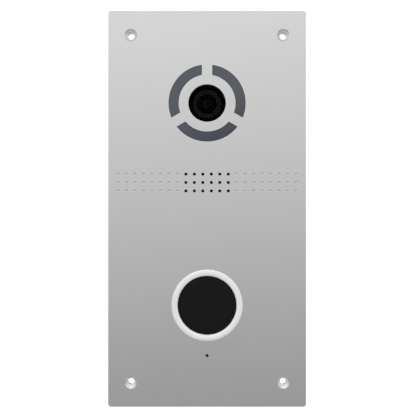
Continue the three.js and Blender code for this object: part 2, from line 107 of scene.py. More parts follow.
# ---------------------------------------------------------------- outlines
# An outline is a function of how far it is grown, in metres, and gives its points as (x, z).


def circle(radius_mm, centre=(0, 0), facets=SMALL_ROUND):
    def points(grow):
        radius = radius_mm * MM + grow
        angles = [i * (2 * math.pi / facets) for i in range(facets)]
        return [(centre[0] + radius * math.cos(a), centre[1] + radius * math.sin(a)) for a in angles]

    return points


def rounded_rectangle(width, height, corner_mm, centre=(0, 0), steps=8):
    """Width and height in metres. The corners keep a small radius however far the outline shrinks."""

    def points(grow):
        radius = max(corner_mm * MM + grow, 0.05 * MM)
        half_x, half_z = width / 2 + grow - radius, height / 2 + grow - radius
        made = []
        for quarter, (side_x, side_z) in enumerate([(1, 1), (-1, 1), (-1, -1), (1, -1)]):
            for i in range(steps + 1):
                angle = (quarter + i / steps) * math.pi / 2
                made.append((
                    centre[0] + side_x * half_x + radius * math.cos(angle),
                    centre[1] + side_z * half_z + radius * math.sin(angle),
                ))
        return made

    return points


def arc_window_outline(spoke, centre, steps=48):
    """One arc between two spokes, with ends that run parallel to the spokes."""

    def points(grow):
        start = math.radians(spoke)
        end = start + 2 * math.pi / len(ARC["spokes"])
        half_gap = ARC["gap"] / 2 * MM - grow
        made = []
        outer, inner = ARC["outer"] * MM + grow, ARC["inner"] * MM - grow
        for radius, turns in ((outer, range(steps + 1)), (inner, range(steps, -1, -1))):
            inset = math.asin(half_gap / radius)
            for i in turns:
                angle = start + inset + (end - start - 2 * inset) * i / steps
                made.append((centre[0] + radius * math.cos(angle), centre[1] + radius * math.sin(angle)))
        return made

    return points


def polygon(corners, centre=(0, 0)):
    """A closed outline with sharp corners, in millimetres and listed anticlockwise. It grows out along its
    corners."""

    def points(grow):
        made = []
        for i, (x, z) in enumerate(corners):
            before, after = corners[i - 1], corners[(i + 1) % len(corners)]
            shift_x = shift_z = 0
            for (ax, az), (bx, bz) in ((before, (x, z)), ((x, z), after)):
                length = math.hypot(bx - ax, bz - az)
                shift_x += (bz - az) / length
                shift_z -= (bx - ax) / length
            made.append((centre[0] + x * MM + shift_x * grow, centre[1] + z * MM + shift_z * grow))
        return made

    return points


def eased(front, back, radius_mm, inward=-1, steps=FILLET_STEPS):
    """Rings from a face at y = front round a quarter-round edge to the wall, as (grow, y). back only says
    which way the wall runs."""
    radius = radius_mm * MM
    side = 1 if back > front else -1
    rings = []
    for i in range(steps + 1):
        angle = math.pi / 2 * i / steps
        rings.append((inward * radius * (1 - math.sin(angle)), front + side * radius * (1 - math.cos(angle))))
    return rings


def both_eased(front, back, radius_mm, inward=-1, steps=FILLET_STEPS):
    """Rings from the front face to the back face, with both of their edges eased."""
    return eased(front, back, radius_mm, inward, steps) + eased(back, front, radius_mm, inward, steps)[::-1]


# ---------------------------------------------------------------- mesh code


def finished(name, mesh, material, body, replaced=(), sharp=35):
    """A bmesh as a piece that rides on a body and stands for CAD nodes."""
    bmesh.ops.recalc_face_normals(mesh, faces=mesh.faces)
    data = bpy.data.meshes.new(name)
    mesh.to_mesh(data)
    mesh.free()
    smooth = [face.use_smooth for face in data.polygons]
    data.set_sharp_from_angle(angle=math.radians(sharp))
    data.polygons.foreach_set("use_smooth", smooth)  # marking the sharp edges smooths every face
    piece = bpy.data.objects.new(name, data)
    bpy.context.scene.collection.objects.link(piece)
    data.materials.append(material)
    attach(piece, body)
    if replaced:
        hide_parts(*replaced)
    return piece


def skin(mesh, rows, smooth=True):
    """Walls from each closed row of vertices to the next."""
    for near, far in zip(rows, rows[1:]):
        for i in range(len(near)):
            mesh.faces.new((near[i], near[i - 1], far[i - 1], far[i])).smooth = smooth


def rings_along(mesh, outline, rings):
    """Walls through the rings of one outline, each (grow, y). Gives its first and last ring of vertices."""
    made = [[mesh.verts.new((x, y, z)) for x, z in outline(grow)] for grow, y in rings]
    skin(mesh, made)
    return made[0], made[-1]


def fill(mesh, rings):
    """Flat triangles between an outer ring and the rings of its holes."""
    edges = [mesh.edges.get((ring[i], ring[i - 1])) for ring in rings for i in range(len(ring))]
    made = bmesh.ops.triangle_fill(
        mesh, edges=edges, use_beauty=True, use_dissolve=False, normal=Vector((0, -1, 0))
    )
    for item in made["geom"]:
        if isinstance(item, bmesh.types.BMFace):
            item.smooth = False


def cap(mesh, ring, depth=None):
    """Closes a ring with a fan to its middle, at y = depth if that is given."""
    middle = sum((v.co for v in ring), Vector()) / len(ring)
    if depth is not None:
        middle.y = depth
    centre = mesh.verts.new(middle)
    for i in range(len(ring)):
        mesh.faces.new((ring[i], ring[i - 1], centre)).smooth = depth is not None


def pierced(mesh, outer, through, blind=()):
    """A body between two flat faces. outer and through are (outline, rings) that run from one face to the
    other. blind are (outline, rings, depth) of hollows in the first face, closed by a fan at that depth."""
    firsts, lasts = [], []
    for outline, rings in [outer, *through]:
        first, last = rings_along(mesh, outline, rings)
        firsts.append(first)
        lasts.append(last)
    for outline, rings, depth in blind:
        first, last = rings_along(mesh, outline, rings)
        firsts.append(first)
        cap(mesh, last, depth)
    fill(mesh, firsts)
    fill(mesh, lasts)


def turn(mesh, profile, centre, facets, closed):
    """A body turned about an axis along Y. The profile is (radius, y) in millimetres."""
    rows = []
    for radius, y in profile:
        if radius < 1e-6:
            rows.append([mesh.verts.new((centre[0], y * MM, centre[1]))])
        else:
            rows.append([mesh.verts.new((x, y * MM, z)) for x, z in circle(radius, centre, facets)(0)])
    pairs = list(zip(rows, rows[1:]))
    if closed:
        pairs.append((rows[-1], rows[0]))
    for near, far in pairs:
        for i in range(facets):
            if len(near) == 1 and len(far) == 1:
                continue
            corners = [near[i], near[i - 1]] if len(near) > 1 else [near[0]]
            corners += [far[i - 1], far[i]] if len(far) > 1 else [far[0]]
            mesh.faces.new(corners).smooth = True


def softened(profile, closed=False, steps=FILLET_STEPS):
    """A profile of (radius, y) or (radius, y, fillet) points, with a corner rounded where it has a fillet."""
    made = []
    count = len(profile)
    for i, point in enumerate(profile):
        fillet = point[2] if len(point) > 2 else 0
        if not fillet or (not closed and i in (0, count - 1)):
            made.append((point[0], point[1]))
            continue
        here = Vector(point[:2])
        before = Vector(profile[i - 1][:2]) - here
        after = Vector(profile[(i + 1) % count][:2]) - here
        half_angle = before.angle(after) / 2
        along = min(fillet / math.tan(half_angle), 0.49 * before.length, 0.49 * after.length)
        radius = along * math.tan(half_angle)
        start, end = here + before.normalized() * along, here + after.normalized() * along
        bisector = (before.normalized() + after.normalized()).normalized()
        middle = here + bisector * (radius / math.sin(half_angle))
        a, b = start - middle, end - middle
        swing = a.angle_signed(b)
        for k in range(steps + 1):
            angle = -swing * k / steps
            made.append((
                middle.x + a.x * math.cos(angle) - a.y * math.sin(angle),
                middle.y + a.x * math.sin(angle) + a.y * math.cos(angle),
            ))
    return made


def turned_piece(
    name, profile, material, body, replaced=(), centre=(0, 0), closed=False, facets=ROUND, sharp=35
):
    mesh = bmesh.new()
    turn(mesh, softened(profile, closed), centre, facets, closed)
    return finished(name, mesh, material, body, replaced, sharp)


def strip(mesh, path, width, thickness):
    """A flat strip of constant width along X, in metres, that follows a path of (y, z)."""
    rows = []
    for i, (y, z) in enumerate(path):
        before, after = path[max(i - 1, 0)], path[min(i + 1, len(path) - 1)]
        run = Vector((after[0] - before[0], after[1] - before[1])).normalized()
        off_y, off_z = -run.y * thickness / 2, run.x * thickness / 2
        corners = [(-width / 2, 1), (width / 2, 1), (width / 2, -1), (-width / 2, -1)]
        rows.append([mesh.verts.new((x, y + side * off_y, z + side * off_z)) for x, side in corners])
    skin(mesh, rows, smooth=False)
    mesh.faces.new(rows[0])
    mesh.faces.new(rows[-1])
    return [v for row in rows for v in row]


def rib(mesh, start, end, out, width, height, steps=8):
    """A moulded rib on a wall that faces `out`, with a rounded crest that runs out at both ends. Metres."""
    start, end, out = Vector(start), Vector(end), Vector(out)
    across = (end - start).normalized().cross(out)
    rows = []
    for share, rise in ((0, 0.1), (0.03, 0.7), (0.08, 1), (0.92, 1), (0.97, 0.7), (1, 0.1)):
        foot = start.lerp(end, share) - 0.3 * height * out
        row = []
        for i in range(steps + 1):
            angle = math.pi * i / steps
            crest = 1.3 * height * rise * math.sin(angle) ** 0.6
            row.append(mesh.verts.new(foot + across * (width / 2 * math.cos(angle)) + out * crest))
        rows.append(row)
    for near, far in zip(rows, rows[1:]):
        for i in range(steps + 1):
            mesh.faces.new((near[i], near[i - 1], far[i - 1], far[i])).smooth = i > 0
    mesh.faces.new(rows[0])
    mesh.faces.new(rows[-1])


def coil(mesh, centre, radius, wire, start, end, turns, facets=10, steps_per_turn=48):
    """Round wire wound about an axis along Y, in metres, from y = start to y = end."""
    rows = []
    along = Vector((0, 1, 0))
    around = [2 * math.pi * k / facets for k in range(facets)]
    steps = int(turns * steps_per_turn)
    for i in range(steps + 1):
        share = i / steps
        angle = 2 * math.pi * turns * share
        out = Vector((math.cos(angle), 0, math.sin(angle)))
        place = Vector((centre[0], start + (end - start) * share, centre[1])) + out * radius
        rows.append([
            mesh.verts.new(place + out * wire * math.cos(a) + along * wire * math.sin(a)) for a in around
        ])
    skin(mesh, rows)
    mesh.faces.new(rows[0])
    mesh.faces.new(rows[-1])


# ---------------------------------------------------------------- materials


def ramp_stops(node, stops):
    """Sets a colour ramp to (place, colour) stops."""
    elements = node.color_ramp.elements
    while len(elements) < len(stops):
        elements.new(0.5)
    for element, (place, color) in zip(elements, stops):
        element.position = place
        element.color = (*color, 1)


class Shader:
    """A Principled material with small helpers for its procedural inputs. Coordinates are in metres."""

    def __init__(self, name, color, roughness, metallic=0.0, specular=0.5):
        self.material = bpy.data.materials.new(name)
        self.material.use_nodes = True
        self.tree = self.material.node_tree
        self.principled = self.tree.nodes["Principled BSDF"]
        self.color = color
        self.roughness = roughness
        self.principled.inputs["Base Color"].default_value = (*color, 1)
        self.principled.inputs["Roughness"].default_value = roughness
        self.principled.inputs["Metallic"].default_value = metallic
        self.principled.inputs["Specular IOR Level"].default_value = specular
        self.place = self.tree.nodes.new("ShaderNodeTexCoord").outputs["Object"]
        self.height = None

    def link(self, source, target):
        self.tree.links.new(source, target)

    def noise(self, size, stretch=(1, 1, 1), detail=3.0, *, seed):
        """Noise with features about `size` metres across, longer where stretch is above 1."""
        mapping = self.tree.nodes.new("ShaderNodeMapping")
        mapping.inputs["Scale"].default_value = [1 / (size * s) for s in stretch]
        mapping.inputs["Location"].default_value = (seed, seed * 1.7, seed * 2.3)
        self.link(self.place, mapping.inputs["Vector"])
        texture = self.tree.nodes.new("ShaderNodeTexNoise")
        texture.inputs["Scale"].default_value = 1.0
        texture.inputs["Detail"].default_value = detail
        self.link(mapping.outputs["Vector"], texture.inputs["Vector"])
        return texture.outputs["Fac"]

    def ranged(self, factor, low, high):
        node = self.tree.nodes.new("ShaderNodeMapRange")
        node.inputs["From Min"].default_value = 0.3
        node.inputs["From Max"].default_value = 0.7
        node.inputs["To Min"].default_value = low
        node.inputs["To Max"].default_value = high
        self.link(factor, node.inputs["Value"])
        return node.outputs["Result"]

    def ramp(self, factor, stops):
        node = self.tree.nodes.new("ShaderNodeValToRGB")
        ramp_stops(node, stops)
        self.link(factor, node.inputs["Fac"])
        return node.outputs["Color"]

    def tint(self, factor, spread):
        """Colour that wanders `spread` below and above the base colour."""
        shades = [[min(1, c * share) for c in self.color] for share in (1 - spread, 1 + spread)]
        self.link(self.ramp(factor, list(zip((0.3, 0.7), shades))), self.principled.inputs["Base Color"])

    def share_along(self, direction, low, high):
        """0 where a place measures `low` along the direction, to 1 where it measures `high`."""
        along = self.tree.nodes.new("ShaderNodeVectorMath")
        along.operation = "DOT_PRODUCT"
        along.inputs[1].default_value = direction
        self.link(self.place, along.inputs[0])
        node = self.tree.nodes.new("ShaderNodeMapRange")
        node.inputs["From Min"].default_value = low
        node.inputs["From Max"].default_value = high
        self.link(along.outputs["Value"], node.inputs["Value"])
        return node.outputs["Result"]

    def radius_share(self, centre, reach):
        """0 on an axis along Y through centre, to 1 at `reach` from it."""
        mapping = self.tree.nodes.new("ShaderNodeMapping")
        mapping.inputs["Location"].default_value = (-centre[0] / reach, 0, -centre[1] / reach)
        mapping.inputs["Scale"].default_value = (1 / reach, 0, 1 / reach)
        self.link(self.place, mapping.inputs["Vector"])
        length = self.tree.nodes.new("ShaderNodeVectorMath")
        length.operation = "LENGTH"
        self.link(mapping.outputs["Vector"], length.inputs[0])
        return length.outputs["Value"]

    def multiplied(self, one, other):
        node = self.tree.nodes.new("ShaderNodeMix")
        node.data_type = "RGBA"
        node.blend_type = "MULTIPLY"
        node.inputs["Factor"].default_value = 1.0
        self.link(one, node.inputs["A"])
        self.link(other, node.inputs["B"])
        return node.outputs["Result"]

    def rough(self, factor, spread):
        value = self.ranged(factor, max(0.02, self.roughness - spread), self.roughness + spread)
        self.link(value, self.principled.inputs["Roughness"])

    def rougher(self, share, extra):
        """Adds up to `extra` to the linked roughness, in full where share is 1."""
        roughness = self.principled.inputs["Roughness"]
        node = self.tree.nodes.new("ShaderNodeMath")
        node.operation = "MULTIPLY_ADD"
        node.inputs[1].default_value = extra
        self.link(share, node.inputs[0])
        self.link(roughness.links[0].from_socket, node.inputs[2])
        self.link(node.outputs["Value"], roughness)

    def bump(self, factor, depth):
        """Relief of `depth` metres. Each further call lies on the one before."""
        node = self.tree.nodes.new("ShaderNodeBump")
        node.inputs["Strength"].default_value = 1.0
        node.inputs["Distance"].default_value = depth
        self.link(factor, node.inputs["Height"])
        if self.height is not None:
            self.link(self.height, node.inputs["Normal"])
        self.height = node.outputs["Normal"]
        self.link(self.height, self.principled.inputs["Normal"])

    def set(self, **values):
        """Even values, by socket name with underscores for spaces."""
        for name, value in values.items():
            self.principled.inputs[name.replace("_", " ")].default_value = value


def surface(name, color, roughness, tint=None, rough=None, bump=None, **base):
    """A Shader whose colour, roughness and relief each wander with a noise of their own. tint and rough are
    (size, spread, seed), bump is (size, depth, seed), and each may end with a stretch. Millimetres."""
    shader = Shader(name, color, roughness, **base)
    if tint:
        size, spread, seed, *stretch = tint
        shader.tint(shader.noise(size * MM, *stretch, seed=seed), spread)
    if rough:
        size, spread, seed, *stretch = rough
        shader.rough(shader.noise(size * MM, *stretch, seed=seed), spread)
    if bump:
        size, depth, seed, *stretch = bump
        shader.bump(shader.noise(size * MM, *stretch, seed=seed), depth * MM)
    return shader


def satin_plate():
    """Blasted and lightly brushed stainless steel: a fine grain drawn out down the plate. Its drilled and
    milled walls are coarser and brighter than its two faces. Round the microphone's fine bore the colour
    is darkened as painted shade, where the deep hole lies in shadow."""
    shader = Shader("satin_steel", (0.60, 0.60, 0.60), 0.33, metallic=1.0)
    depth = shader.share_along((0, 1, 0), PLATE_FRONT, PLATE_BACK)
    walls = shader.ramp(depth, [(0.115, (0, 0, 0)), (0.2, (1, 1, 1)), (0.93, (1, 1, 1)), (0.99, (0, 0, 0))])
    # painted shade: the colour in and round the microphone's bore is darkened where its deep hole lies in
    # shadow
    bore = shader.ramp(shader.radius_share(MICROPHONE, 2 * MM), [(0.38, (0.2, 0.2, 0.2)), (0.41, (1, 1, 1))])
    walls_and_bore_shade = shader.multiplied(walls, bore)
    shade = shader.ramp(walls_and_bore_shade, [(0, (0.60, 0.60, 0.60)), (1, (0.81, 0.81, 0.81))])
    mottle = shader.ramp(shader.noise(30 * MM, seed=1), [(0.3, (0.985, 0.985, 0.985)), (0.7, (1, 1, 1))])
    # the base colour takes the painted shade of the microphone's bore
    shade = shader.multiplied(shader.multiplied(mottle, shade), bore)
    shader.link(shade, shader.principled.inputs["Base Color"])
    shader.rough(shader.noise(0.25 * MM, stretch=(1, 1, 30), seed=2), 0.03)
    shader.rougher(walls_and_bore_shade, 0.3)
    shader.bump(shader.noise(0.09 * MM, stretch=(1, 1, 40), seed=3), 0.0006 * MM)
    return shader.material


def grained_plastic(name, color, roughness, grain=0.35, depth=0.006, specular=0.5):
    """Moulded plastic with a fine spark-eroded grain. Grain size and depth in millimetres."""
    noises = {"tint": (8, 0.06, 11), "rough": (grain * 2, 0.05, 12), "bump": (grain, depth, 13)}
    return surface(name, color, roughness, specular=specular, **noises).material


def light_guide():
    """Milky white plastic that glows a little from inside."""
    noises = {"tint": (5, 0.02, 17), "rough": (0.8, 0.05, 18), "bump": (0.25, 0.001, 19)}
    shader = surface("milky_white", (0.865, 0.865, 0.865), 0.34, specular=0.5, **noises)
    shader.set(Subsurface_Weight=0.35, Subsurface_Radius=(1.0, 1.0, 1.0), Subsurface_Scale=1.2 * MM)
    return shader.material


def smoked_window():
    """Smoked polycarbonate over an unlit lamp board: blue-grey and patchy, with painted light and shade
    that makes it lighter towards the top left and darker towards the bottom right.
    """
    shader = Shader("smoked_window", (0.085, 0.095, 0.120), 0.30, specular=0.35)
    patches = shader.ramp(
        shader.noise(9 * MM, seed=20), [(0.35, (0.092, 0.101, 0.110)), (0.65, (0.078, 0.093, 0.128))]
    )
    middle, reach = CAMERA[1], ARC["outer"] * MM
    # painted light and shade: the colour grows lighter towards the top left and darker towards the bottom
    # right
    rise = shader.ramp(
        shader.share_along((-0.5, 0, 1), middle - reach, middle + reach),
        [(0.0, (0.62, 0.60, 0.62)), (0.5, (0.97, 0.99, 0.98)), (1.0, (1.0, 0.98, 0.94))],
    )
    shader.link(shader.multiplied(patches, rise), shader.principled.inputs["Base Color"])
    shader.rough(shader.noise(1.5 * MM, seed=21), 0.05)
    shader.bump(shader.noise(0.3 * MM, seed=22), 0.0008 * MM)
    return shader.material


def clear_glass():
    """Thin dark window with an anti-reflection coating: it dims what is behind it and mirrors nothing. Even a
    faint reflection here is met by so few light paths that it comes out as specks."""
    shader = Shader("coated_glass", (0.0, 0.0, 0.0), 0.03, specular=0.0)
    shader.rough(shader.noise(3 * MM, seed=23), 0.012)
    shader.set(Alpha=0.34)
    return shader.material


def lens_glass():
    """Deep black glass: a dark pupil, and round it the faint ring of an element further in, with a painted
    highlight on it: a brighter band in the colour that is lighter on the left.
    """
    shader = Shader("lens_glass", (0.0008, 0.0008, 0.0012), 0.08, specular=0.03)
    # the bright stops are a painted highlight: a ring of lighter colour round the pupil
    deep, faint, bright = (0.0002, 0.0002, 0.0003), (0.0072, 0.0072, 0.0080), (0.030, 0.030, 0.033)
    stops = [(0.05, deep), (0.13, faint), (0.25, bright), (0.35, bright)]
    stops += [(0.46, faint), (0.90, faint), (0.97, deep)]
    rings = shader.ramp(shader.radius_share(CAMERA, LENS_RIM * MM), stops)
    # painted highlight: the bright ring is kept light on the left and darkened towards the right
    side = shader.radius_share((CAMERA[0] - 1.6 * MM, CAMERA[1] - 0.3 * MM), 3.2 * MM)
    painted_glint_crescent = shader.ramp(side, [(0.35, (1, 1, 1)), (0.85, (0.62, 0.62, 0.62))])
    shader.link(shader.multiplied(rings, painted_glint_crescent), shader.principled.inputs["Base Color"])
    shader.rough(shader.noise(2 * MM, seed=24), 0.02)
    return shader.material


def flat_black(name, shade, specular):
    """Light-trapping black of the camera's inner parts."""
    noises = {"tint": (1.5, 0.08, 38), "rough": (0.4, 0.06, 41), "bump": (0.12, 0.002, 39)}
    return surface(name, (shade, shade, shade), 0.6, specular=specular, **noises).material


def circuit_board():
    """Green solder mask with copper tracks that show through a little."""
    shader = Shader("solder_mask", (0.012, 0.10, 0.035), 0.35)
    tracks = shader.noise(1.2 * MM, stretch=(6, 1, 1), detail=0.0, seed=28)
    shader.tint(tracks, 0.25)
    shader.rough(shader.noise(0.8 * MM, seed=29), 0.06)
    shader.bump(tracks, 0.02 * MM)
    return shader.material


def woven_wire():
    """Fine square weave of blackened wire."""
    shader = Shader("woven_wire", (0.020, 0.019, 0.018), 0.6, specular=0.3)
    weave = shader.tree.nodes.new("ShaderNodeTexVoronoi")
    weave.inputs["Scale"].default_value = 1 / (0.25 * MM)
    weave.inputs["Randomness"].default_value = 0.0
    shader.link(shader.place, weave.inputs["Vector"])
    shader.bump(weave.outputs["Distance"], 0.06 * MM)
    shader.tint(shader.noise(0.5 * MM, seed=30), 0.2)
    return shader.material


STEEL = satin_plate()
ZINC = surface(
    "zinc_steel", (0.56, 0.56, 0.55), 0.32, metallic=1.0,
    tint=(2, 0.06, 4), rough=(0.4, 0.08, 5), bump=(0.15, 0.002, 6),
).material
TINNED = surface(
    "tinned_steel", (0.72, 0.72, 0.70), 0.22, metallic=1.0,
    tint=(3, 0.04, 7), rough=(0.3, 0.06, 8, (8, 1, 1)), bump=(0.1, 0.0008, 9, (10, 1, 1)),
).material
GOLD = surface("gold_contact", (0.83, 0.60, 0.25), 0.2, metallic=1.0, rough=(0.3, 0.05, 10)).material
HOUSING = grained_plastic("housing_black", (0.018, 0.018, 0.019), 0.46)
FINE_BLACK = grained_plastic("fine_black", (0.010, 0.010, 0.011), 0.5, grain=0.15, depth=0.002, specular=0.3)
TERMINAL_GREEN = grained_plastic("terminal_green", (0.03, 0.24, 0.09), 0.4, grain=0.25, depth=0.003)
WHITE = light_guide()
CAP_BLACK = surface(
    "satin_black", (0.0062, 0.0062, 0.0063), 0.42, specular=0.10,
    tint=(6, 0.05, 14), rough=(0.5, 0.04, 15), bump=(0.12, 0.0012, 16),
).material
SMOKED = smoked_window()
GLASS = clear_glass()
LENS = lens_glass()
LENS_BLACK = flat_black("lens_black", 0.040, 0.12)
SEAT_BLACK = flat_black("seat_black", 0.0055, 0.03)
RUBBER = surface(
    "seal_rubber", (0.022, 0.022, 0.023), 0.72, specular=0.35,
    tint=(4, 0.12, 25), rough=(0.6, 0.08, 26), bump=(0.3, 0.01, 27),
).material
BOARD = circuit_board()
WOVEN = woven_wire()
PAPER = surface(
    "pressed_paper", (0.030, 0.027, 0.024), 0.85, specular=0.25, tint=(1.2, 0.25, 36), bump=(0.4, 0.03, 37)
).material
LABEL = surface(
    "label_stock", (0.62, 0.63, 0.64), 0.42, tint=(7, 0.02, 31), rough=(0.5, 0.05, 32), bump=(0.4, 0.002, 33)
).material
LAMP = surface("lamp_body", (0.80, 0.76, 0.52), 0.4, tint=(0.8, 0.08, 34), rough=(0.5, 0.06, 35)).material

SLOT_MATERIALS = {
    "plate": STEEL,
    "smoked_window": SMOKED,
    "clear_glass": GLASS,
    "light_guide": WHITE,
    "black_cap": CAP_BLACK,
    "black_plastic": FINE_BLACK,
    "rubber": RUBBER,
    "black_mesh": WOVEN,
    "paper_cone": PAPER,
    "socket_shell": TINNED,
    "green_plastic": TERMINAL_GREEN,
    "circuit_board": BOARD,
    "led": LAMP,
    "zinc_steel": ZINC,
}


def dress_cad_nodes():
    """Every CAD node takes the material of its slot, whether it shows or is replaced further down."""
    for part in frame["record"]["subparts"]:
        materials = frame["nodes"][part["node"]].data.materials
        materials.clear()
        materials.append(SLOT_MATERIALS[part["material_slot"]])


# ---------------------------------------------------------------- front


def wall_screw_places():
    return [(side * WALL_SCREW["x"] * MM, end * WALL_SCREW["z"] * MM) for side in (-1, 1) for end in (-1, 1)]


def grille_places():
    """(x, z, whether it is open) of the grille: open holes in the middle, blind dimples on either side."""
    made = []
    for row in range(GRILLE["rows"]):
        for column in range(GRILLE["all_columns"]):
            step = column - (GRILLE["all_columns"] - 1) / 2
            x = step * GRILLE["pitch_x"] * MM
            z = SPEAKER[1] + (row - (GRILLE["rows"] - 1) / 2) * GRILLE["pitch_z"] * MM
            made.append((x, z, abs(step) < GRILLE["columns"] / 2))
    return made


def make_plate():
    low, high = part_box("faceplate")
    front, back = PLATE_FRONT, PLATE_BACK
    wall = both_eased(front, back, HOLE_EDGE, inward=1, steps=2)

    def straight(radius, at, facets):
        return circle(radius, at, facets), wall

    edge = both_eased(front, back, PLATE_EDGE)
    outer = (rounded_rectangle(high.x - low.x, high.z - low.z, PLATE_CORNER), edge)
    through = [straight(CAMERA_HOLE, CAMERA, ROUND), straight(BUTTON_HOLE, BUTTON, ROUND)]
    through.append(straight(MICROPHONE_HOLE, MICROPHONE, SMALL_ROUND))
    for spoke in ARC["spokes"]:
        through.append((arc_window_outline(spoke, CAMERA), wall))
    sink = (WALL_SCREW["sink"] - WALL_SCREW["hole"]) * MM
    for at in wall_screw_places():
        rings = [(sink + 0.05 * MM, front), (sink - 0.02 * MM, front + 0.03 * MM)]
        rings += [(sink - 0.1 * MM, front + 0.11 * MM), (0, front + sink)]
        rings += [(0, back - 0.1 * MM), (0.1 * MM, back)]
        through.append((circle(WALL_SCREW["hole"], at, 48), rings))
    blind = []
    for x, z, is_open in grille_places():
        if is_open:
            through.append(straight(GRILLE["hole"], (x, z), 24))
        else:
            depth = DIMPLE["depth"] * MM
            rings = [(0, front), (-0.12 * MM, front + 0.5 * depth), (-0.35 * MM, front + 0.9 * depth)]
            blind.append((circle(DIMPLE["radius"], (x, z), 16), rings, front + depth))
    mesh = bmesh.new()
    pierced(mesh, outer, through, blind)
    finished("front_plate", mesh, STEEL, "panel", ["faceplate"])


def make_arc_window():
    """Three arcs, flush in their slots, on one flange behind the plate."""
    front, back = depth_of("light_window")
    flange_front = PLATE_BACK + 0.3 * MM
    inset = -ARC["clearance"] * MM
    flange_wall = [(0, flange_front), (0, back)]
    mesh = bmesh.new()
    flange_first, flange_last = rings_along(mesh, circle(22, CAMERA, ROUND), flange_wall)
    hole_first, hole_last = rings_along(mesh, circle(11.4, CAMERA, ROUND), flange_wall)
    feet = []
    for spoke in ARC["spokes"]:
        rings = [(inset + g, y) for g, y in eased(front, back, 0.12, steps=3)] + [(inset, flange_front)]
        top, foot = rings_along(mesh, arc_window_outline(spoke, CAMERA), rings)
        fill(mesh, [top])
        feet.append(foot)
    fill(mesh, [flange_first, hole_first, *feet])
    fill(mesh, [flange_last, hole_last])
    finished("arc_window", mesh, SMOKED, "panel", ["light_window"])


def make_camera():
    turned_piece(
        "camera_glass",
        [(0, -3.8), (9.2, -3.8, 0.2), (9.2, -2.6, 0.15), (0, -2.6)],
        GLASS, "panel", ["camera_window"], CAMERA,
    )
    turned_piece(
        "camera_seat",
        [(7.6, -2.45, 0.15), (9.2, -2.45, 0.2), (9.2, -0.8), (11, -0.8), (11, 1), (7.6, 1)],
        SEAT_BLACK, "panel", ["camera_bezel"], CAMERA, closed=True,
    )
    # The barrel's head has a shallow step, two fine grooves and a cone that falls to the glass.
    head = [
        (4.9, -1.75), (5.15, -2.1, 0.1), (5.75, -2.1, 0.05), (5.85, -1.95), (6.05, -1.95), (6.15, -2.1, 0.05),
        (7.3, -2.1, 0.25), (7.3, 0.6, 0.2), (6, 0.6), (6, 7.6), (3.4, 7.6), (3.4, 0.8), (4.9, 0.8),
    ]
    turned_piece(
        "lens_head", head, LENS_BLACK, "panel", ["lens_barrel"], CAMERA, closed=True
    )
    rim, bulge, steps = LENS_RIM, 0.75, 16
    face = [(rim * i / steps, -2.35 + bulge * (i / steps) ** 2) for i in range(steps + 1)]
    lens = [*face, (rim, 0.6), (0, 0.6)]
    turned_piece("lens_front", lens, LENS, "panel", ["front_lens"], CAMERA)


def make_button():
    crown, seat, rear = -5.2, PLATE_FRONT / MM, depth_of("button_ring")[1] / MM
    outer, bore, sleeve = 18.0, 14.8, 16.7
    middle, half, rise = (outer + bore) / 2, (outer - bore) / 2, seat - crown
    steps = 20
    bead = [
        (middle - half * math.cos(math.pi * i / steps), seat - rise * math.sin(math.pi * i / steps) ** 0.62)
        for i in range(1, steps)
    ]
    profile = [
        (bore, seat + 0.6), *bead, (outer, seat), (17.5, seat), (17.5, seat - 0.3), (sleeve, seat - 0.3),
        (sleeve, rear, 0.3), (bore, rear, 0.3),
    ]
    turned_piece(
        "call_ring", profile, WHITE, "panel", ["button_ring"], BUTTON, closed=True, sharp=40
    )
    cap = [
        (0, -4.6), (11, -4.6), (14.6, -4.6, 0.4), (14.6, 0.5, 0.1), (13.1, 0.5, 0.1), (13.1, -2.6, 0.3),
        (2.8, -2.6), (2.8, 4.9), (2.2, 4.9), (2.2, 5.65), (2.8, 5.65), (2.8, 6.4, 0.3), (0, 6.4),
    ]
    turned_piece("call_cap", cap, CAP_BLACK, "call_button", ["button_cap"], BUTTON)


# ---------------------------------------------------------------- seals and rear


def frame_strip(name, node, strip_width, corner, hole_corner, ease):
    """A flat strip round a rectangle, as large as its CAD node, with its edges eased. Millimetres."""
    low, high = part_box(node)
    width, height, less = high.x - low.x, high.z - low.z, 2 * strip_width * MM
    outer = (rounded_rectangle(width, height, corner), both_eased(low.y, high.y, ease))
    hole = (
        rounded_rectangle(width - less, height - less, hole_corner),
        both_eased(low.y, high.y, ease, inward=1),
    )
    mesh = bmesh.new()
    pierced(mesh, outer, [hole])
    finished(name, mesh, RUBBER, "panel", [node])


def make_seals():
    frame_strip("wall_strip", "wall_seal", 4, 1.5, 0.6, 0.25)
    frame_strip("shell_strip", "housing_seal", 1.6, 5, 3.2, 0.2)


